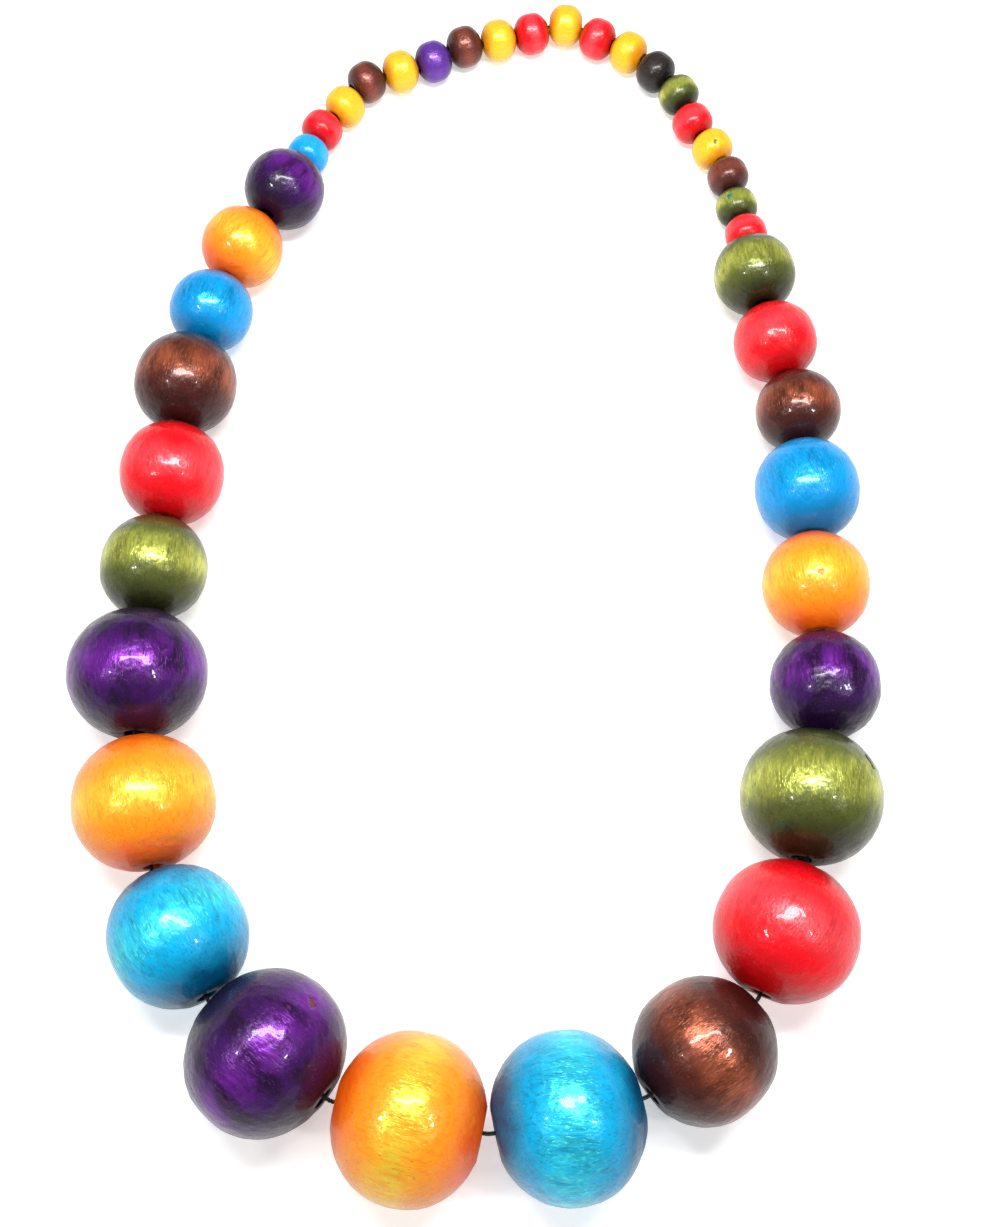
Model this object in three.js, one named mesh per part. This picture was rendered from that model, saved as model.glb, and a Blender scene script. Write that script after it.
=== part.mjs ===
// A necklace of forty turned wooden beads on one closed loop of black thread. The beads grow from 11 mm
// behind the neck to 34.5 mm in front, and the loop lies in an open ring on a level surface.
// Millimetres. +Z is up and the surface is z = 0. +Y runs from the largest beads to the smallest.
import * as THREE from "three";

// Driving dimensions

const THREAD_D = 1;
const GAP = 0.3; // clear space left between two neighbouring beads
const HELD_UP = 1.5; // how far the thread holds a tiny bead beside a small one off the surface
const THREAD_SLACK = 0.2; // 0 bends sharply at the mouths, 1 swings widely
const THREAD_SIDES = 6;
const THREAD_STEPS_A_BEAD = 6;

// One size of bead: its diameter across the bore, its length along it, the bore's diameter, the diameter of
// the flat ring round each mouth, the sides of its section, and the bands of its rounded outside.
const SIZES = {
  tiny: { across: 11, along: 9.2, bore: 3.6, mouth: 4.8, sides: 12, bands: 6 },
  small: { across: 21.2, along: 19.4, bore: 3.8, mouth: 7, sides: 14, bands: 7 },
  medium: { across: 25, along: 24, bore: 4, mouth: 8.5, sides: 16, bands: 8 },
  large: { across: 30, along: 28.8, bore: 4.6, mouth: 10, sides: 18, bands: 9 },
  broad: { across: 31.6, along: 28.8, bore: 4.6, mouth: 10, sides: 18, bands: 9 },
  huge: { across: 34.5, along: 30.4, bore: 5, mouth: 11, sides: 20, bands: 10 },
};

const DYES = {
  orange: 0xf7901e,
  purple: 0x5b2a86,
  turquoise: 0x0f8fbe,
  blue: 0x1e8fe6,
  green: 0x6b7a2e,
  red: 0xd8182c,
  brown: 0x6e3220,
  yellow: 0xf7c81a,
  black: 0x2e2020,
};

// The beads in the order they are strung, starting from the orange one in front and going up the left side,
// round the back and down the right: dye, size, and the bearing in degrees of the next bead's centre,
// from +X towards +Y.
const STRINGING = [
  ["orange", "huge", 157],
  ["purple", "huge", 131],
  ["turquoise", "large", 109],
  ["orange", "broad", 98],
  ["purple", "broad", 89],
  ["green", "medium", 85],
  ["red", "medium", 87],
  ["brown", "medium", 79],
  ["blue", "small", 71],
  ["orange", "small", 61],
  ["purple", "small", 70],
  ["blue", "tiny", 71],
  ["red", "tiny", 53],
  ["yellow", "tiny", 56],
  ["brown", "tiny", 22],
  ["yellow", "tiny", 21],
  ["purple", "tiny", 31],
  ["brown", "tiny", 14],
  ["yellow", "tiny", 14],
  ["red", "tiny", 18],
  ["yellow", "tiny", -28],
  ["red", "tiny", -28],
  ["yellow", "tiny", -42],
  ["black", "tiny", -52],
  ["green", "tiny", -70],
  ["red", "tiny", -59],
  ["yellow", "tiny", -67],
  ["brown", "tiny", -79],
  ["green", "tiny", -79],
  ["red", "tiny", -87],
  ["green", "small", -78],
  ["red", "small", -77],
  ["brown", "small", -89],
  ["blue", "medium", -89],
  ["orange", "medium", -89],
  ["purple", "medium", -102],
  ["green", "broad", -104],
  ["red", "broad", -127],
  ["brown", "large", -155],
  ["turquoise", "huge", -179],
];

// One bead

// Half the section of a bead as a closed outline, with x the radius and y the distance along the bore: the
// bore's wall, the flat ring round a mouth, the rounded outside as an arc of an ellipse, and the other ring.
function beadOutline({ across, along, bore, mouth, bands }) {
  const poleToPole = along / Math.sqrt(1 - (mouth / across) ** 2);
  const start = Math.acos(along / poleToPole);
  const outside = Array.from({ length: bands + 1 }, (_, i) => {
    const angle = THREE.MathUtils.lerp(Math.PI - start, start, i / bands);
    return new THREE.Vector2((across / 2) * Math.sin(angle), (poleToPole / 2) * Math.cos(angle));
  });
  const bottom = new THREE.Vector2(bore / 2, -along / 2);
  const top = new THREE.Vector2(bore / 2, along / 2);
  return [bottom, ...outside, top, bottom.clone()];
}

// How far a bead reaches from its centre in a direction that leaves its bore by the given angle.
function reach(size, angle) {
  const ahead = Math.abs(Math.cos(angle));
  const aside = Math.abs(Math.sin(angle));
  return Math.max(...beadOutline(size).map(({ x, y }) => y * ahead + x * aside));
}

// A bead with its bore along X and one ridge of its section straight below.
function beadMesh(name, dye, size) {
  const geometry = new THREE.LatheGeometry(beadOutline(size), size.sides).rotateZ(-Math.PI / 2);
  const lacquer = new THREE.MeshStandardMaterial({ color: DYES[dye], roughness: 0.2, metalness: 0 });
  const mesh = new THREE.Mesh(geometry, lacquer);
  mesh.name = name;
  return mesh;
}

// The ring of beads

const beads = STRINGING.map(([dye, sizeName, bearing], i) => ({
  name: `bead_${String(i + 1).padStart(2, "0")}_${dye}`,
  dye,
  size: SIZES[sizeName],
  bearing: THREE.MathUtils.degToRad(bearing),
}));
const after = (i) => beads[(i + 1) % beads.length];
const before = (i) => beads[(i + beads.length - 1) % beads.length];

// The signed angle from one bearing to another, the short way round.
function turn(from, to) {
  return Math.atan2(Math.sin(to - from), Math.cos(to - from));
}

// Each bore points half way between the lines to the two neighbours, in plan and in height.
beads.forEach((bead, i) => {
  const besideBigger = [before(i), after(i)].some(({ size }) => size.across > 1.5 * bead.size.across);
  bead.lift = besideBigger ? HELD_UP : 0;
  bead.heading = before(i).bearing + turn(before(i).bearing, bead.bearing) / 2;
});
const nominalHeight = ({ size, lift }) => size.across / 2 + lift;
beads.forEach((bead, i) => {
  const apart = (bead.size.along + after(i).size.along) / 2 + GAP;
  bead.slope = Math.asin((nominalHeight(after(i)) - nominalHeight(bead)) / apart);
});
beads.forEach((bead, i) => {
  bead.tilt = (before(i).slope + bead.slope) / 2;
  bead.height = reach(bead.size, Math.PI / 2 - bead.tilt) + bead.lift;
  bead.axis = new THREE.Vector3(1, 0, 0).applyEuler(new THREE.Euler(0, -bead.tilt, bead.heading, "ZYX"));
});

// The step in plan from a bead's centre to the next one's: the two just clear each other.
function stepToNext(bead, i) {
  const next = after(i);
  const line = new THREE.Vector3(1, 0, 0).applyEuler(new THREE.Euler(0, -bead.slope, bead.bearing, "ZYX"));
  const apart = reach(bead.size, bead.axis.angleTo(line)) + reach(next.size, next.axis.angleTo(line)) + GAP;
  const inPlan = Math.sqrt(apart ** 2 - (next.height - bead.height) ** 2);
  return new THREE.Vector2(Math.cos(bead.bearing), Math.sin(bead.bearing)).multiplyScalar(inPlan);
}

// The steps run round the loop, and every bead takes an equal share of the small error on closing it.
const toNext = beads.map(stepToNext);
const closingError = toNext.reduce((sum, step) => sum.add(step), new THREE.Vector2());
const place = new THREE.Vector2();
beads.forEach((bead, i) => {
  bead.centre = new THREE.Vector3(place.x, place.y, bead.height);
  place.add(toNext[i]).addScaledVector(closingError, -1 / beads.length);
});

const necklace = new THREE.Group();
for (const { name, dye, size, centre, heading, tilt } of beads) {
  const mesh = beadMesh(name, dye, size);
  mesh.position.copy(centre);
  mesh.rotation.set(0, -tilt, heading, "ZYX");
  necklace.add(mesh);
}

// The thread

// It passes through each bead's centre and half way between each pair of facing mouths.
const threadPoints = beads.flatMap((bead, i) => {
  const next = after(i);
  const mouth = bead.centre.clone().addScaledVector(bead.axis, bead.size.along / 2);
  const facing = next.centre.clone().addScaledVector(next.axis, -next.size.along / 2);
  return [bead.centre, mouth.lerp(facing, 0.5)];
});

// Its steps are shared out bead by bead, not by length, so that each point above gets a section of its own.
class ThreadRoute extends THREE.CatmullRomCurve3 {
  getUtoTmapping(u) {
    return u;
  }
}
const threadRoute = new ThreadRoute(threadPoints, true, "catmullrom", THREAD_SLACK);

// The knot is inside a bead. The loop closes on itself, so a TubeGeometry has no open ends here.
const steps = beads.length * THREAD_STEPS_A_BEAD;
const thread = new THREE.Mesh(
  new THREE.TubeGeometry(threadRoute, steps, THREAD_D / 2, THREAD_SIDES, true),
  new THREE.MeshStandardMaterial({ color: 0x17151a, roughness: 0.8, metalness: 0 }),
);
thread.name = "thread";
necklace.add(thread);

// The origin is the middle of the necklace's box, on the surface.
const middle = new THREE.Box3().setFromObject(necklace, true).getCenter(new THREE.Vector3());
necklace.position.set(-middle.x, -middle.y, 0);

export default necklace;
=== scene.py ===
"""A necklace of turned, dyed and lacquered wooden beads on a black thread, lying open on a white surface.

Every bead is turned afresh in the place of its CAD node, with a round outside, softened mouths, the
unevenness of dipped lacquer, its own chips and dents, and the grain of dyed wood under the lacquer.
"""
import math
import random

import bmesh
import bpy
import numpy as np
from bpy.props import FloatProperty, FloatVectorProperty, PointerProperty
from bpy.types import Operator, Panel, PropertyGroup
from mathutils import Euler, Matrix, Vector, geometry, noise


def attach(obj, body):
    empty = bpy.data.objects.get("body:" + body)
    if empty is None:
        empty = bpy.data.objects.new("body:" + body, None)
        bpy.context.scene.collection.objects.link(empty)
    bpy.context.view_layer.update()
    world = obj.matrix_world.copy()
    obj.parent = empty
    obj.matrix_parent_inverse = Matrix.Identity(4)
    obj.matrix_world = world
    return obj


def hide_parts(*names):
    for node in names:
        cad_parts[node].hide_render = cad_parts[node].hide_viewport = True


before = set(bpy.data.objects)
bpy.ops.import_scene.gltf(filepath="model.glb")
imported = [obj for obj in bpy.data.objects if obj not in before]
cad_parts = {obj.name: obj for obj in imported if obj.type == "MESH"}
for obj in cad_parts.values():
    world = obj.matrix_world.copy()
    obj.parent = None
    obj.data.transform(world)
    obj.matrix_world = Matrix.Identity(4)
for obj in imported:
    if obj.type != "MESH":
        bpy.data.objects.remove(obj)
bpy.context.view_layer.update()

bl_info = {
    "name": "Wooden Bead Necklace",
    "version": (1, 0, 0),
    "blender": (4, 5, 0),
    "location": "3D View > Sidebar > Necklace",
    "description": "Turns, dyes, lacquers and strings the beads of a necklace",
    "category": "Add Mesh",
}

MM = 0.001
THREAD = "thread"
SIZE_STARTS = {"huge": 16, "large": 14, "medium": 11.5, "small": 8, "tiny": 0}  # radius in millimetres
AT_MOUTH = 0.49  # a point this share of the length away from the middle belongs to the ring round a mouth


# Beads, measured on their CAD nodes

class Bead:
    """The size and place of one bead."""

    def __init__(self, node):
        self.node = node
        number, self.dye = node.split("_")[1:]
        self.number = int(number)
        self.points = np.array([vertex.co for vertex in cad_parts[node].data.vertices])
        self.centre = self.points.mean(0)
        spread, directions = np.linalg.eigh(np.cov((self.points - self.centre).T))
        self.axis = directions[:, np.argmax(np.abs(spread - np.median(spread)))]

    def measure(self, following):
        """Points the axis at the next bead on the thread, and measures the bead along it and across it."""
        if np.dot(self.axis, following.centre - self.centre) < 0:
            self.axis = -self.axis
        from_centre = self.points - self.centre
        along = from_centre @ self.axis
        across = np.linalg.norm(from_centre - np.outer(along, self.axis), axis=1)
        self.length = float(np.ptp(along))
        self.radius = float(across.max())
        self.bore = float(across.min())
        self.mouth = float(across[along > AT_MOUTH * self.length].max())

    def size(self):
        """huge, large, medium, small or tiny, by the radius that each size starts from."""
        return next(name for name, start in SIZE_STARTS.items() if self.radius > start * MM)

    def place(self):
        """The matrix that takes a bead turned about X at the origin to its place on the thread."""
        turn = Vector(self.axis).to_track_quat("X", "Z").to_matrix().to_4x4()
        return Matrix.Translation(self.centre) @ turn


BEADS = [Bead(node) for node in sorted(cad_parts) if node != THREAD]
NEXT_BEADS = BEADS[1:] + BEADS[:1]
for bead, following in zip(BEADS, NEXT_BEADS):
    bead.measure(following)


# Settings that a user can change

def srgb(red, green, blue):
    """A colour given as 0 to 255 steps of a screen, as the light that Blender counts in."""
    steps = (red / 255, green / 255, blue / 255)
    return tuple(s / 12.92 if s <= 0.04045 else ((s + 0.055) / 1.055) ** 2.4 for s in steps)


def dye_colour(name, where, *colour):
    description = f"The dyed wood {where}"
    return FloatVectorProperty(
        name=name, description=description, default=srgb(*colour), subtype="COLOR", size=3, min=0, max=1,
    )


# The waist colours are partly the paler side grain and partly a painted sheen: the glow of light off the
# fibres, painted into the colour.
WAIST = "round the waist, where the fibres lie along the surface and glow"
SIDES = "over most of the bead"
MOUTHS = "round the mouths, where the dye soaks into the end grain"


class NecklaceDyes(PropertyGroup):
    """The colours of the dyed woods, the waist colours holding a painted sheen of the fibres as well."""

    orange_waist: dye_colour("Orange Waist", WAIST, 244, 206, 56)
    orange_sides: dye_colour("Orange Sides", SIDES, 240, 148, 26)
    orange_mouths: dye_colour("Orange Mouths", MOUTHS, 246, 92, 6)
    yellow_waist: dye_colour("Yellow Waist", WAIST, 230, 200, 48)
    yellow_sides: dye_colour("Yellow Sides", SIDES, 229, 192, 34)
    yellow_mouths: dye_colour("Yellow Mouths", MOUTHS, 228, 140, 16)
    red_waist: dye_colour("Red Waist", WAIST, 234, 68, 78)
    red_sides: dye_colour("Red Sides", SIDES, 232, 10, 26)
    red_mouths: dye_colour("Red Mouths", MOUTHS, 184, 4, 10)
    turquoise_waist: dye_colour("Turquoise Waist", WAIST, 60, 228, 252)
    turquoise_sides: dye_colour("Turquoise Sides", SIDES, 0, 172, 224)
    turquoise_mouths: dye_colour("Turquoise Mouths", MOUTHS, 0, 78, 118)
    blue_waist: dye_colour("Blue Waist", WAIST, 4, 168, 240)
    blue_sides: dye_colour("Blue Sides", SIDES, 0, 150, 222)
    blue_mouths: dye_colour("Blue Mouths", MOUTHS, 0, 106, 162)
    purple_waist: dye_colour("Purple Waist", WAIST, 120, 34, 160)
    purple_sides: dye_colour("Purple Sides", SIDES, 58, 12, 88)
    purple_mouths: dye_colour("Purple Mouths", MOUTHS, 26, 6, 36)
    violet_waist: dye_colour("Violet Waist", WAIST, 112, 62, 168)
    violet_sides: dye_colour("Violet Sides", SIDES, 92, 46, 150)
    violet_mouths: dye_colour("Violet Mouths", MOUTHS, 62, 26, 98)
    green_waist: dye_colour("Green Waist", WAIST, 206, 212, 92)
    green_sides: dye_colour("Green Sides", SIDES, 85, 93, 38)
    green_mouths: dye_colour("Green Mouths", MOUTHS, 30, 30, 12)
    brown_waist: dye_colour("Brown Waist", WAIST, 184, 96, 64)
    brown_sides: dye_colour("Brown Sides", SIDES, 80, 31, 23)
    brown_mouths: dye_colour("Brown Mouths", MOUTHS, 42, 14, 12)
    azure_waist: dye_colour("Azure Waist", WAIST, 36, 184, 238)
    azure_sides: dye_colour("Azure Sides", SIDES, 6, 158, 228)
    azure_mouths: dye_colour("Azure Mouths", MOUTHS, 0, 116, 184)
    chestnut_waist: dye_colour("Chestnut Waist", WAIST, 146, 74, 58)
    chestnut_sides: dye_colour("Chestnut Sides", SIDES, 94, 44, 35)
    chestnut_mouths: dye_colour("Chestnut Mouths", MOUTHS, 56, 25, 21)
    black_waist: dye_colour("Black Waist", WAIST, 56, 48, 46)
    black_sides: dye_colour("Black Sides", SIDES, 44, 36, 36)
    black_mouths: dye_colour("Black Mouths", MOUTHS, 24, 18, 18)


class NecklaceLacquer(PropertyGroup):
    """The lacquer over the wood."""

    coat: FloatProperty(
        name="Coat", description="How much clear lacquer covers the wood",
        default=0.52, min=0, max=1, subtype="FACTOR",
    )
    gloss: FloatProperty(
        name="Gloss Roughness", description="Roughness of the lacquer on all but the tiny beads",
        default=0.05, min=0, max=1, subtype="FACTOR",
    )
    satin: FloatProperty(
        name="Satin Roughness", description="Roughness of the lacquer on the tiny beads",
        default=0.2, min=0, max=1, subtype="FACTOR",
    )
    swell: FloatProperty(
        name="Swell", description="Height of the broad unevenness, as a share of a bead's radius",
        default=0.012, min=0, max=0.05, subtype="FACTOR",
    )
    ripple: FloatProperty(
        name="Ripple", description="Height of the fine unevenness",
        default=0.07 * MM, min=0, max=0.5 * MM, unit="LENGTH", precision=5,
    )
    grid: FloatProperty(
        name="Grid", description="Spacing of a bead's mesh",
        default=0.45 * MM, min=0.3 * MM, max=3 * MM, unit="LENGTH", precision=5,
    )


class NecklaceThread(PropertyGroup):
    """The thread."""

    thickness: FloatProperty(
        name="Thickness", description="Across the twisted strands",
        default=1.0 * MM, min=0.3 * MM, max=3 * MM, unit="LENGTH", precision=5,
    )
    pitch: FloatProperty(
        name="Pitch", description="Length along the thread in which the strands go round once",
        default=4.0 * MM, min=1 * MM, max=20 * MM, unit="LENGTH", precision=5,
    )


class NecklaceStage(PropertyGroup):
    """The lights over the white surface."""

    strip: FloatProperty(
        name="Strip", description="Power of the strip light in watts", default=3.1, min=0, unit="POWER",
    )
    lamps: FloatProperty(
        name="Lamps", description="Power of each small lamp in watts", default=0.65, min=0, unit="POWER",
    )
    fill: FloatProperty(
        name="Fill", description="Glow of the surface itself, which keeps its shadows faint",
        default=0.45, min=0, max=2,
    )
    dimmed: FloatProperty(
        name="Dimmed", description="How much darker the surface is where the lacquer mirrors it",
        default=0.42, min=0, max=1, subtype="FACTOR",
    )


class NecklaceSettings(PropertyGroup):
    """Everything that can be set on the necklace."""

    dyes: PointerProperty(type=NecklaceDyes, name="Dyes", description="The colours of the woods")
    lacquer: PointerProperty(type=NecklaceLacquer, name="Lacquer", description="The lacquer on the beads")
    thread: PointerProperty(type=NecklaceThread, name="Thread", description="The thread")
    stage: PointerProperty(type=NecklaceStage, name="Stage", description="The lights")


# Materials

class Wire:
    """An output socket in a node tree. Arithmetic on it adds Math nodes."""

    def __init__(self, nodes, socket):
        self.nodes = nodes
        self.socket = socket

    def _math(self, operation, first, second):
        return self.nodes.add("ShaderNodeMath", {"operation": operation}, {0: first, 1: second})

    def __add__(self, other):
        return self._math("ADD", self, other)

    __radd__ = __add__

    def __mul__(self, other):
        return self._math("MULTIPLY", self, other)

    __rmul__ = __mul__

    def __sub__(self, other):
        return self._math("SUBTRACT", self, other)

    def __rsub__(self, other):
        return self._math("SUBTRACT", other, self)

    def __abs__(self):
        return self.nodes.add("ShaderNodeMath", {"operation": "ABSOLUTE"}, {0: self})


class Nodes:
    """The emptied node tree of a material or a world, whose nodes are all made by add."""

    def __init__(self, owner):
        self.owner = owner
        owner.use_nodes = True
        self.tree = owner.node_tree
        self.tree.nodes.clear()

    def add(self, kind, settings=None, inputs=None, output=0):
        """Makes a node: its settings first, then each input's value or link. Returns one of its outputs."""
        node = self.tree.nodes.new(kind)
        for name, value in (settings or {}).items():
            setattr(node, name, value)
        for key, value in (inputs or {}).items():
            if isinstance(value, Wire):
                self.tree.links.new(value.socket, node.inputs[key])
            else:
                node.inputs[key].default_value = value
        return Wire(self, node.outputs[output]) if node.outputs else None

    def attribute(self, name, output="Fac"):
        return self.add("ShaderNodeAttribute", {"attribute_name": name}, output=output)

    def step(self, value, low, high):
        """0 at low, 1 at high, and smooth between. A low above high gives a falling step."""
        ends = {"Value": value, "From Min": low, "From Max": high}
        return self.add("ShaderNodeMapRange", {"interpolation_type": "SMOOTHSTEP"}, ends)

    def noise(self, vector, stretch, scale, detail=2.0, roughness=0.5):
        """Noise from 0 to 1 on a vector that is first multiplied by stretch."""
        fitted = self.add("ShaderNodeVectorMath", {"operation": "MULTIPLY"}, {0: vector, 1: stretch})
        values = {"Vector": fitted, "Scale": scale, "Detail": detail, "Roughness": roughness}
        return self.add("ShaderNodeTexNoise", {}, values)

    def blend(self, share, first, second):
        """A mix of two colours: all first at share 0 and all second at 1."""
        colours = {"Factor": share, 6: opaque(first), 7: opaque(second)}
        return self.add("ShaderNodeMix", {"data_type": "RGBA"}, colours, output=2)

    def surface(self, inputs):
        """Ends a material in a Principled BSDF with these inputs."""
        shader = self.add("ShaderNodeBsdfPrincipled", {}, inputs)
        self.add("ShaderNodeOutputMaterial", {}, {"Surface": shader})
        return self.owner


def opaque(colour):
    return colour if isinstance(colour, Wire) else (*colour, 1.0)


def brighter(colour):
    """A little brighter and paler."""
    return tuple(min(1.0, 1.2 * c + 0.06) for c in colour)


# For each dye, how much its fibres glint like metal, how blotchily the wood has taken it up, and how clearly
# pale dashes, a painted glint of the fibres, show round the waist.
TAKE_UP = {
    "orange": (0.30, 0.15, 0.35), "yellow": (0.15, 0.10, 0.25), "red": (0.20, 0.20, 0.15),
    "turquoise": (0.35, 0.35, 0.60), "blue": (0.35, 0.30, 0.50), "purple": (0.38, 0.90, 0.18),
    "violet": (0.35, 0.40, 0.25), "green": (0.50, 0.42, 0.45), "brown": (0.45, 0.70, 0.35),
    "chestnut": (0.35, 0.35, 0.30), "azure": (0.20, 0.10, 0.20), "black": (0.25, 0.40, 0.20),
}


def dyed_wood(name, dye, dyes, lacquer, roughness, figure):
    """Dyed wood under clear lacquer, its fibres running along the bore. figure is how plainly its dark
    streaks and pores show."""
    waist, sides, mouths = (tuple(getattr(dyes, f"{dye}_{part}")) for part in ("waist", "sides", "mouths"))
    glint, blotchy, dash_glint = TAKE_UP[dye]
    wood = Nodes(bpy.data.materials.new(name))
    grain = wood.attribute("grain", "Vector")
    lean = abs(wood.attribute("lean"))
    bare = wood.attribute("bare")

    # The figure of the wood, every part of it longer along the fibres than across them.
    cloud = wood.noise(grain, (0.5, 1, 1), 0.17, 3.0)
    streak = wood.noise(grain, (0.14, 1, 1), 1.3, 3.0, 0.6)
    fibre = wood.noise(grain, (0.10, 1, 1), 4.2, 2.0, 0.6)
    fleck = wood.step(wood.noise(grain, (0.4, 1, 1), 0.55, 2.0, 0.55), 0.36, 0.64)
    dash = wood.step(wood.noise(grain, (0.28, 1, 1), 2.8, 1.0), 0.54, 0.68)
    pore = wood.step(wood.noise(grain, (0.25, 1, 1), 2.7, 1.0), 0.67, 0.76)

    # Where the fibres lie along the surface and a sheen is painted, where they end in it, and where the dye
    # has gathered.
    patchy = lean + 0.5 * (cloud - 0.5) + 0.35 * (streak - 0.5)
    sheen_band = wood.step(patchy, 0.52, 0.0) * (1 - dash_glint + dash_glint * 1.3 * fleck)
    end_on = wood.step(patchy, 0.5, 1.0)
    blotch = blotchy * figure * wood.step(cloud, 0.62, 0.32)

    # The waist colour over the sides: paler side grain with a painted sheen of the fibres.
    colour = wood.blend(sheen_band, sides, waist)
    colour = wood.blend(end_on, colour, mouths)
    colour = wood.blend(blotch, colour, mouths)
    colour = wood.blend(0.4 * figure * wood.step(streak, 0.55, 0.3), colour, mouths)
    # Pale dashes on the fibres round the waist: a painted glint.
    colour = wood.blend(dash_glint * dash * sheen_band, colour, brighter(waist))
    colour = wood.blend(0.5 * figure * pore, colour, tuple(0.4 * c for c in mouths))
    colour = wood.blend(bare, colour, wood.attribute("stain", "Color"))

    lump = wood.noise(grain, (0.8, 1, 1), 0.8, 1.0)
    relief = 1.7 * lump + 0.5 * fibre + 0.5 * streak + 0.3 * dash - 0.5 * pore
    normal = wood.add("ShaderNodeBump", {}, {"Strength": 0.6, "Distance": 0.00012, "Height": relief})
    return wood.surface({
        "Base Color": colour,
        "Metallic": glint * (0.3 + sheen_band) * (1 - bare),
        "Roughness": 0.16 + 0.24 * streak + 0.06 * end_on,
        "Normal": normal,
        "IOR": 1.37,
        "Coat Weight": lacquer.coat * (1 - 0.8 * bare) * wood.step(lean, 0.99, 0.93),
        "Coat Roughness": roughness,
        "Coat IOR": 1.34,
    })


# The dye that a tiny bead shows, where it took up less than the bigger beads of its colour.
PALER_DYES = {"purple": "violet", "brown": "chestnut", "blue": "azure"}


def bead_wood(bead, settings):
    """The material for a bead, made once for each dye and lacquer."""
    tiny = bead.size() == "tiny"
    dye = PALER_DYES.get(bead.dye, bead.dye) if tiny else bead.dye
    roughness = settings.lacquer.satin if tiny else settings.lacquer.gloss
    name = f"{dye}_wood_{'satin' if tiny else 'gloss'}"
    figure = 0.4 if tiny else 1.0
    made = bpy.data.materials.get(name)
    return made or dyed_wood(name, dye, settings.dyes, settings.lacquer, roughness, figure)


def waxed_cotton():
    """Black waxed thread, matt, with a fine fuzz."""
    cotton = Nodes(bpy.data.materials.new("waxed_cotton"))
    place = cotton.add("ShaderNodeTexCoord", output="Object")
    fuzz = cotton.noise(place, (1, 1, 1), 6000.0)
    normal = cotton.add("ShaderNodeBump", {}, {"Strength": 0.4, "Distance": 0.00005, "Height": fuzz})
    colour = cotton.blend(fuzz, srgb(12, 10, 12), srgb(40, 36, 38))
    return cotton.surface({"Base Color": colour, "Roughness": 0.6, "Normal": normal})


# Turning a bead

class Mark:
    """A chip, dent, scratch or stain on a bead, from one direction seen from its centre to another. The
    directions are a bearing from +X towards +Y and a height above level, in degrees."""

    def __init__(self, bead, colour, wide, deep, start, end=None):
        self.bead = bead
        self.colour = srgb(*colour)
        self.wide = wide * MM
        self.deep = deep * MM
        self.start = start
        self.end = end or start

    def ends(self, bead):
        """The two ends on a bead's outside, in its own frame."""
        to_bead = bead.place().to_3x3().inverted()
        for bearing, height in (self.start, self.end):
            east, up = math.radians(bearing), math.radians(height)
            toward = Vector((math.cos(up) * math.cos(east), math.cos(up) * math.sin(east), math.sin(up)))
            local = to_bead @ toward
            pole = bead.length / 2 / math.sqrt(1 - (bead.mouth / bead.radius) ** 2)
            yield local / math.hypot(local.x / pole, math.hypot(local.y, local.z) / bead.radius)

    def distance(self, point, start, end):
        if (end - start).length < 0.1 * MM:
            return (point - start).length
        nearest, share = geometry.intersect_point_line(point, start, end)
        share = min(1.0, max(0.0, share))
        return (point - start.lerp(end, share)).length


MARKS = [
    Mark(2, (98, 44, 54), wide=1.2, deep=0.22, start=(43, 35), end=(40, 38)),
    Mark(2, (84, 24, 62), wide=0.5, deep=0.05, start=(53, 54)),
    Mark(4, (250, 200, 90), wide=0.3, deep=0.05, start=(-139, 32), end=(-80, 57)),
    Mark(27, (118, 84, 58), wide=0.5, deep=0.12, start=(-88, 78), end=(-89, 69)),
    Mark(29, (24, 110, 92), wide=1.2, deep=0.0, start=(175, 61)),
    Mark(35, (226, 128, 24), wide=1.0, deep=0.16, start=(-138, 80)),
    Mark(37, (16, 18, 10), wide=0.7, deep=0.35, start=(34, 36), end=(21, 38)),
]

# Beads whose lacquer is rougher than the rest, by their number on the thread, and how many times as rough.
ROUGH_LACQUER = {36: 1.6}

# How far the shoulders stand out from an ellipse, as a share of the radius, and what brings the curve
# reach * reach * (1 - reach) to 1 at its highest point.
FULLER = {"tiny": 0.05, "small": 0.015, "medium": 0.015, "large": 0.015, "huge": 0.015}
PEAK_TO_ONE = 6.75
EDGE_ROUNDING = 0.22 * MM
EDGE_ANGLE = math.radians(20)  # a crease sharper than this is an edge of a mouth
REFINED_MARGIN = 0.5 * MM  # how far past a mark's width its finer grid reaches
MERGING = 1e-6

# The unevenness of the surface, in millimetres: how wide the bumps of each kind are.
SWELL_WIDE = 8.0
RIPPLE_WIDE = 2.2
FINE_RIPPLE_WIDE = 1.1
RAGGED_EDGE_WIDE = 0.5
TINY_RIPPLE = 0.4  # the share of the ripple that the thin lacquer of a tiny bead has
MARK_REACH = 1.6  # how far a mark goes on past its own width before it has faded out
PATCHES_APART = 300  # each bead is cut from somewhere in a block of wood this many millimetres each way
OFF_BORE = 0.09  # how far the fibres lean away from the bore, in radians


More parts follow.
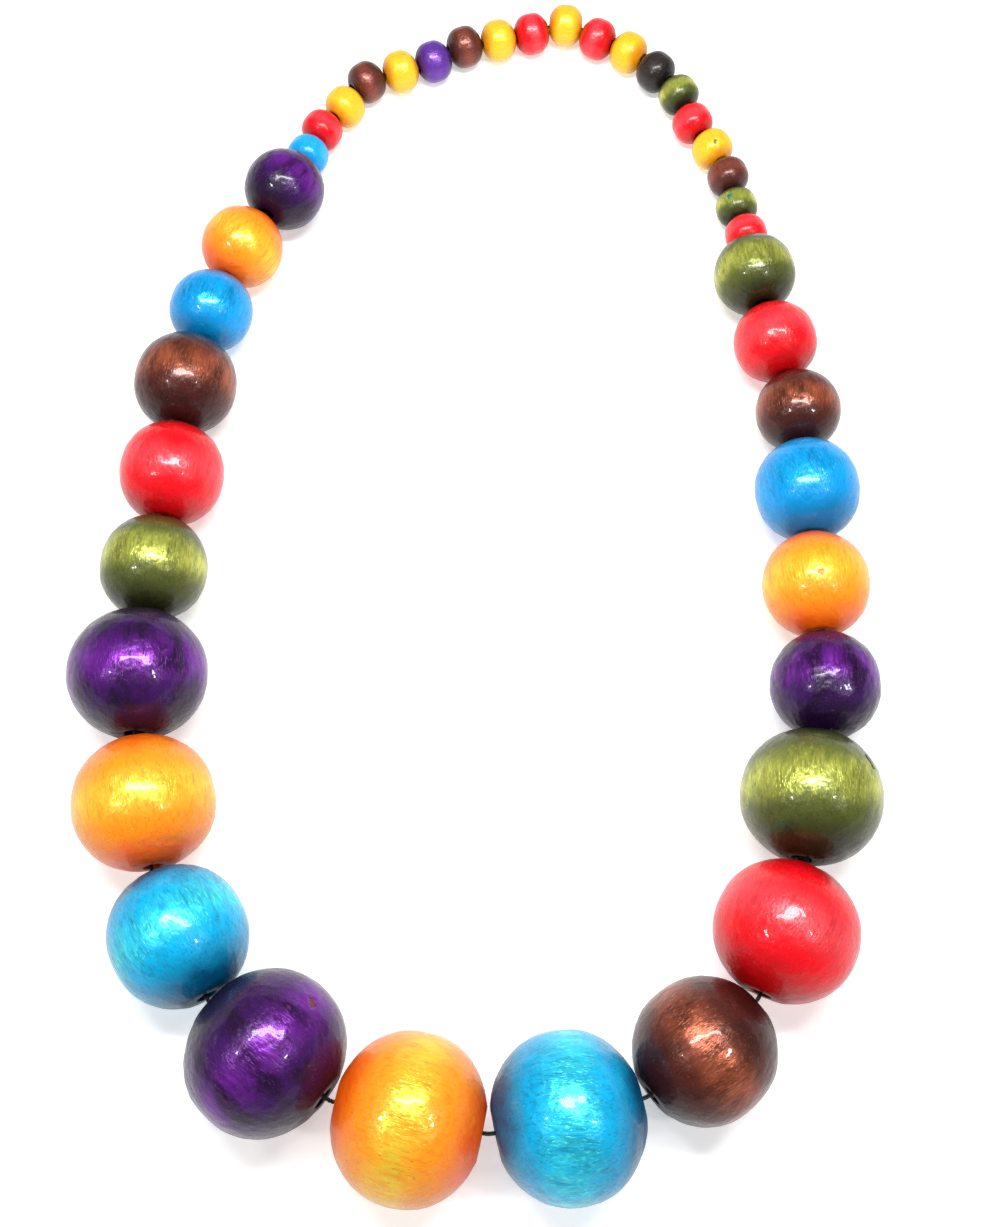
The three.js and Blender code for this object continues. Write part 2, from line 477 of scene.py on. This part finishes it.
def half_section(bm, bead, steps):
    """Half a bead's section as a closed wire: the round outside, two flat rings and the wall of the bore."""
    half = bead.length / 2
    pole = half / math.sqrt(1 - (bead.mouth / bead.radius) ** 2)
    bmesh.ops.create_circle(bm, segments=steps, radius=1)
    bmesh.ops.scale(bm, vec=(pole, bead.radius, 1), verts=bm.verts)
    for vertex in bm.verts:
        reach = min(1.0, abs(vertex.co.x) / half)
        vertex.co.y *= 1 + FULLER[bead.size()] * PEAK_TO_ONE * reach * reach * (1 - reach)
    cuts = (((half, 0, 0), (1, 0, 0)), ((-half, 0, 0), (-1, 0, 0)), ((0, 0, 0), (0, -1, 0)))
    for point, away in cuts:
        wire = bm.verts[:] + bm.edges[:]
        bmesh.ops.bisect_plane(bm, geom=wire, dist=1e-7, plane_co=point, plane_no=away, clear_outer=True)
    shoulders = [vertex for vertex in bm.verts if len(vertex.link_edges) == 1]
    lips = bmesh.ops.extrude_vert_indiv(bm, verts=shoulders)["verts"]
    for lip in lips:
        lip.co.y = bead.bore
    bm.edges.new(lips)


def spin_bead(bm, bead, grid):
    """The section spun round the bore, closed, with its mouths' edges rounded off."""
    steps = max(48, round(math.tau * bead.radius / grid))
    half_section(bm, bead, steps)
    bmesh.ops.spin(
        bm, geom=bm.verts[:] + bm.edges[:], cent=(0, 0, 0), axis=(1, 0, 0), dvec=(0, 0, 0),
        angle=math.tau, steps=steps, use_merge=True,
    )
    bmesh.ops.remove_doubles(bm, verts=bm.verts, dist=MERGING)
    bmesh.ops.recalc_face_normals(bm, faces=bm.faces)
    mouths = [edge for edge in bm.edges if edge.calc_face_angle(0) > EDGE_ANGLE]
    bmesh.ops.bevel(
        bm, geom=mouths, affect="EDGES", offset=EDGE_ROUNDING, segments=3, profile=0.5, material=-1,
        clamp_overlap=True,
    )


def refine_marks(bm, marks):
    """A finer grid under each mark."""
    for mark, start, end in marks:
        near = mark.wide + REFINED_MARGIN
        close = {v for v in bm.verts if mark.distance(v.co, start, end) < near}
        edges = [edge for edge in bm.edges if edge.verts[0] in close and edge.verts[1] in close]
        bmesh.ops.subdivide_edges(bm, edges=edges, cuts=2, use_grid_fill=True)


def waves(point, size):
    """Smooth noise from about -0.5 to 0.5, with bumps about as wide as size in millimetres."""
    return noise.noise(point / size, noise_basis="PERLIN_ORIGINAL")


def finish_surface(bm, bead, marks, lacquer):
    """Uneven lacquer and marks, and what the wood's material reads: grain, lean, bare and stain."""
    dice = random.Random(bead.number)
    grain = bm.verts.layers.float_vector.new("grain")
    stain = bm.verts.layers.float_vector.new("stain")
    lean = bm.verts.layers.float.new("lean")
    bare = bm.verts.layers.float.new("bare")
    patch = Vector([dice.uniform(-PATCHES_APART, PATCHES_APART) for _ in range(3)])
    off_bore = Euler((0, dice.gauss(0, OFF_BORE), dice.gauss(0, OFF_BORE))).to_matrix()
    swell = lacquer.swell * bead.radius
    ripple = lacquer.ripple * ROUGH_LACQUER.get(bead.number, 1.0)
    ripple *= TINY_RIPPLE if bead.size() == "tiny" else 1.0
    bm.normal_update()
    moves = []
    for vertex in bm.verts:
        fibre = off_bore @ vertex.co
        vertex[lean] = 2 * fibre.x / bead.length
        vertex[grain] = fibre / MM + patch
        here = vertex.co / MM + patch
        out = math.hypot(vertex.co.y, vertex.co.z)
        covered = min(1.0, max(0.0, (out - bead.bore) / (bead.mouth - bead.bore)))
        height = swell * (waves(here, SWELL_WIDE) - 0.5)
        height += ripple * (waves(here, RIPPLE_WIDE) + 0.6 * waves(here, FINE_RIPPLE_WIDE))
        for mark, start, end in marks:
            reach = mark.distance(vertex.co, start, end) / mark.wide
            if reach < MARK_REACH:
                reach += 0.5 * waves(here, RAGGED_EDGE_WIDE)
                share = min(1.0, max(0.0, 1.6 - 1.6 * reach))
                vertex[bare] = share * share * (3 - 2 * share)
                vertex[stain] = mark.colour
                height -= mark.deep * vertex[bare]
        moves.append(vertex.normal * (height * covered))
    for vertex, move in zip(bm.verts, moves):
        vertex.co += move
    for face in bm.faces:
        face.smooth = True


def add_piece(name, mesh, material, node):
    """Puts a mesh in the scene in the place of a CAD node."""
    piece = bpy.data.objects.new(name, mesh)
    bpy.context.scene.collection.objects.link(piece)
    mesh.materials.append(material)
    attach(piece, "root")
    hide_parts(node)


def turn_beads(size, settings):
    """Turns every bead of one size."""
    for bead in BEADS:
        if bead.size() != size:
            continue
        bm = bmesh.new()
        marks = [(mark, *mark.ends(bead)) for mark in MARKS if mark.bead == bead.number]
        spin_bead(bm, bead, settings.lacquer.grid)
        refine_marks(bm, marks)
        finish_surface(bm, bead, marks, settings.lacquer)
        bm.transform(bead.place())
        mesh = bpy.data.meshes.new(f"turned_{bead.node}")
        bm.to_mesh(mesh)
        bm.free()
        add_piece(mesh.name, mesh, bead_wood(bead, settings), bead.node)
    return {"FINISHED"}


class TurnHugeBeads(Operator):
    """Turn the huge beads, which hang lowest in front"""

    bl_idname = "necklace.turn_huge_beads"
    bl_label = "Turn Huge Beads"

    def execute(self, context):
        return turn_beads("huge", context.scene.necklace)


class TurnLargeBeads(Operator):
    """Turn the large beads beside the huge ones"""

    bl_idname = "necklace.turn_large_beads"
    bl_label = "Turn Large Beads"

    def execute(self, context):
        return turn_beads("large", context.scene.necklace)


class TurnMediumBeads(Operator):
    """Turn the medium beads half way up both sides"""

    bl_idname = "necklace.turn_medium_beads"
    bl_label = "Turn Medium Beads"

    def execute(self, context):
        return turn_beads("medium", context.scene.necklace)


class TurnSmallBeads(Operator):
    """Turn the small beads above the medium ones"""

    bl_idname = "necklace.turn_small_beads"
    bl_label = "Turn Small Beads"

    def execute(self, context):
        return turn_beads("small", context.scene.necklace)


class TurnTinyBeads(Operator):
    """Turn the tiny beads behind the neck"""

    bl_idname = "necklace.turn_tiny_beads"
    bl_label = "Turn Tiny Beads"

    def execute(self, context):
        return turn_beads("tiny", context.scene.necklace)


# The thread

POINTS_A_TURN = 8  # points of the route in which the strands go round once
BEND = 0.06  # how far a curve's handle reaches, as a share of the way between the knots on both sides
STRANDS = 3
STRAND_SIDES = 8
STRAND_OUT = 0.27  # from the thread's middle to a strand's, as a share of the thread's thickness
STRAND_RADIUS = 0.23  # as a share of the same, a little less than lets two strands touch


def thread_route(spacing):
    """Evenly spaced points of a loop through every bore, bending softly between facing mouths."""
    knots = []
    for bead, following in zip(BEADS, NEXT_BEADS):
        mouth = bead.centre + bead.axis * bead.length / 2
        facing = following.centre - following.axis * following.length / 2
        knots += [Vector(bead.centre), Vector((mouth + facing) / 2)]
    count = len(knots)
    route = []
    for i, knot in enumerate(knots):
        ahead = knots[(i + 1) % count]
        leave = BEND * (ahead - knots[i - 1])
        arrive = BEND * (knots[(i + 2) % count] - knot)
        pieces = max(2, round((ahead - knot).length / spacing))
        route += geometry.interpolate_bezier(knot, knot + leave, ahead - arrive, ahead, pieces + 1)[:-1]
    return route


def strand_section(thickness):
    """The section of the strands twisted together, as closed rings side by side."""
    data = bpy.data.curves.new("strand_section", "CURVE")
    data.dimensions = "2D"
    for i in range(STRANDS):
        spline = data.splines.new("POLY")
        spline.points.add(STRAND_SIDES - 1)
        out = Vector((STRAND_OUT * thickness, 0, 0))
        centre = Matrix.Rotation(math.tau * i / STRANDS, 3, "Z") @ out
        for j, point in enumerate(spline.points):
            radius = Vector((STRAND_RADIUS * thickness, 0, 0))
            rim = Matrix.Rotation(math.tau * j / STRAND_SIDES, 3, "Z") @ radius
            point.co = (*(centre + rim), 1)
        spline.use_cyclic_u = True
    return bpy.data.objects.new("strand_section", data)


class StringBeads(Operator):
    """String the beads on a closed loop of twisted black thread"""

    bl_idname = "necklace.string_beads"
    bl_label = "String Beads"

    def execute(self, context):
        thread = context.scene.necklace.thread
        route = thread_route(thread.pitch / POINTS_A_TURN)
        data = bpy.data.curves.new("thread_route", "CURVE")
        data.dimensions = "3D"
        data.bevel_mode = "OBJECT"
        data.bevel_object = strand_section(thread.thickness)
        spline = data.splines.new("POLY")
        spline.points.add(len(route) - 1)
        turns = round(len(route) / POINTS_A_TURN)
        for i, (point, place) in enumerate(zip(spline.points, route)):
            point.co = (*place, 1)
            point.tilt = math.tau * turns * i / len(route)
        spline.use_cyclic_u = True
        curve = bpy.data.objects.new("thread_route", data)
        for guide in (curve, data.bevel_object):
            context.scene.collection.objects.link(guide)
        mesh = bpy.data.meshes.new_from_object(curve.evaluated_get(context.evaluated_depsgraph_get()))
        bm = bmesh.new()
        bm.from_mesh(mesh)
        bmesh.ops.remove_doubles(bm, verts=bm.verts, dist=MERGING)
        bmesh.ops.recalc_face_normals(bm, faces=bm.faces)
        bm.to_mesh(mesh)
        bm.free()
        mesh.shade_smooth()
        bpy.data.objects.remove(data.bevel_object)
        bpy.data.objects.remove(curve)
        add_piece("twisted_thread", mesh, waxed_cotton(), THREAD)
        return {"FINISHED"}


# The stage

def area_light(name, place, width, depth, power):
    """A flat light that faces straight down."""
    light = bpy.data.lights.new(name, "AREA")
    light.shape = "RECTANGLE"
    light.size = width
    light.size_y = depth
    light.energy = power
    lamp = bpy.data.objects.new(name, light)
    lamp.matrix_world = Matrix.Translation(place)
    bpy.context.scene.collection.objects.link(lamp)


def white_surface(fill, dimmed):
    """The level surface that the necklace lies on. The beads mirror it dimmed by a share."""
    bm = bmesh.new()
    bmesh.ops.create_circle(bm, cap_ends=True, segments=96, radius=15.0)
    mesh = bpy.data.meshes.new("white_surface")
    bm.to_mesh(mesh)
    bm.free()
    card = Nodes(bpy.data.materials.new("white_card"))
    white = card.add("ShaderNodeBsdfPrincipled", {}, {
        "Base Color": (0.86, 0.86, 0.86, 1), "Roughness": 0.9, "Specular IOR Level": 0.1,
        "Emission Color": (1, 1, 1, 1), "Emission Strength": fill,
    })
    shade = card.add("ShaderNodeBsdfDiffuse", {}, {"Color": (0.1, 0.1, 0.1, 1)})
    mirrored = card.add("ShaderNodeLightPath", output="Is Glossy Ray")
    both = card.add("ShaderNodeMixShader", {}, {0: dimmed * mirrored, 1: white, 2: shade})
    card.add("ShaderNodeOutputMaterial", {}, {"Surface": both})
    mesh.materials.append(card.owner)
    floor = bpy.data.objects.new("white_surface", mesh)
    bpy.context.scene.collection.objects.link(floor)


def pale_room():
    """Surroundings that are pale at the horizon and dim overhead."""
    world = bpy.data.worlds.new("pale_room")
    bpy.context.scene.world = world
    room = Nodes(world)
    toward = room.add("ShaderNodeTexCoord", output="Generated")
    height = room.add("ShaderNodeSeparateXYZ", {}, {0: toward}, output="Z")
    strength = 0.24 + 0.9 * room.step(height, 0.2, 0.12)
    sky = room.add("ShaderNodeBackground", {}, {"Strength": strength})
    room.add("ShaderNodeOutputWorld", {}, {"Surface": sky})


def camera():
    """Above the front beads, looking down and a little towards the neck."""
    data = bpy.data.cameras.new("camera")
    data.sensor_width = 36
    data.lens = 40.95
    eye = bpy.data.objects.new("camera", data)
    turn = Matrix.Rotation(math.radians(19.86), 4, "X") @ Matrix.Rotation(math.radians(0.45), 4, "Z")
    eye.matrix_world = Matrix.Translation((0.0053, -0.1387, 0.3188)) @ turn
    bpy.context.scene.collection.objects.link(eye)
    bpy.context.scene.camera = eye


class SetStage(Operator):
    """Lay out the white surface, the lights, the room and the camera"""

    bl_idname = "necklace.set_stage"
    bl_label = "Set Stage"

    def execute(self, context):
        stage = context.scene.necklace.stage
        context.scene.view_settings.view_transform = "Standard"
        camera()
        white_surface(stage.fill, stage.dimmed)
        area_light("strip", (0.02, 0.036, 0.46), 0.38, 0.06, stage.strip)
        area_light("lamp_left", (-0.32, -0.18, 0.46), 0.05, 0.05, stage.lamps)
        area_light("lamp_right", (0.32, -0.18, 0.46), 0.05, 0.05, stage.lamps)
        pale_room()
        return {"FINISHED"}


# The panel, and the order of work

STEPS = (
    SetStage, TurnHugeBeads, TurnLargeBeads, TurnMediumBeads, TurnSmallBeads, TurnTinyBeads, StringBeads,
)


class NecklacePanel(Panel):
    """The necklace's settings and the steps that make it"""

    bl_idname = "VIEW3D_PT_necklace"
    bl_label = "Wooden Bead Necklace"
    bl_space_type = "VIEW_3D"
    bl_region_type = "UI"
    bl_category = "Necklace"

    def draw(self, context):
        settings = context.scene.necklace
        for group in (settings.dyes, settings.lacquer, settings.thread, settings.stage):
            column = self.layout.column(align=True)
            for name in type(group).__annotations__:
                column.prop(group, name)
        for step in STEPS:
            self.layout.operator(step.bl_idname)


CLASSES = (
    NecklaceDyes, NecklaceLacquer, NecklaceThread, NecklaceStage, NecklaceSettings, *STEPS, NecklacePanel,
)


def register():
    for cls in CLASSES:
        bpy.utils.register_class(cls)
    bpy.types.Scene.necklace = PointerProperty(type=NecklaceSettings)


def unregister():
    del bpy.types.Scene.necklace
    for cls in reversed(CLASSES):
        bpy.utils.unregister_class(cls)


def main():
    register()
    bpy.ops.necklace.set_stage()
    bpy.ops.necklace.turn_huge_beads()
    bpy.ops.necklace.turn_large_beads()
    bpy.ops.necklace.turn_medium_beads()
    bpy.ops.necklace.turn_small_beads()
    bpy.ops.necklace.turn_tiny_beads()
    bpy.ops.necklace.string_beads()


if __name__ == "__main__":
    main()
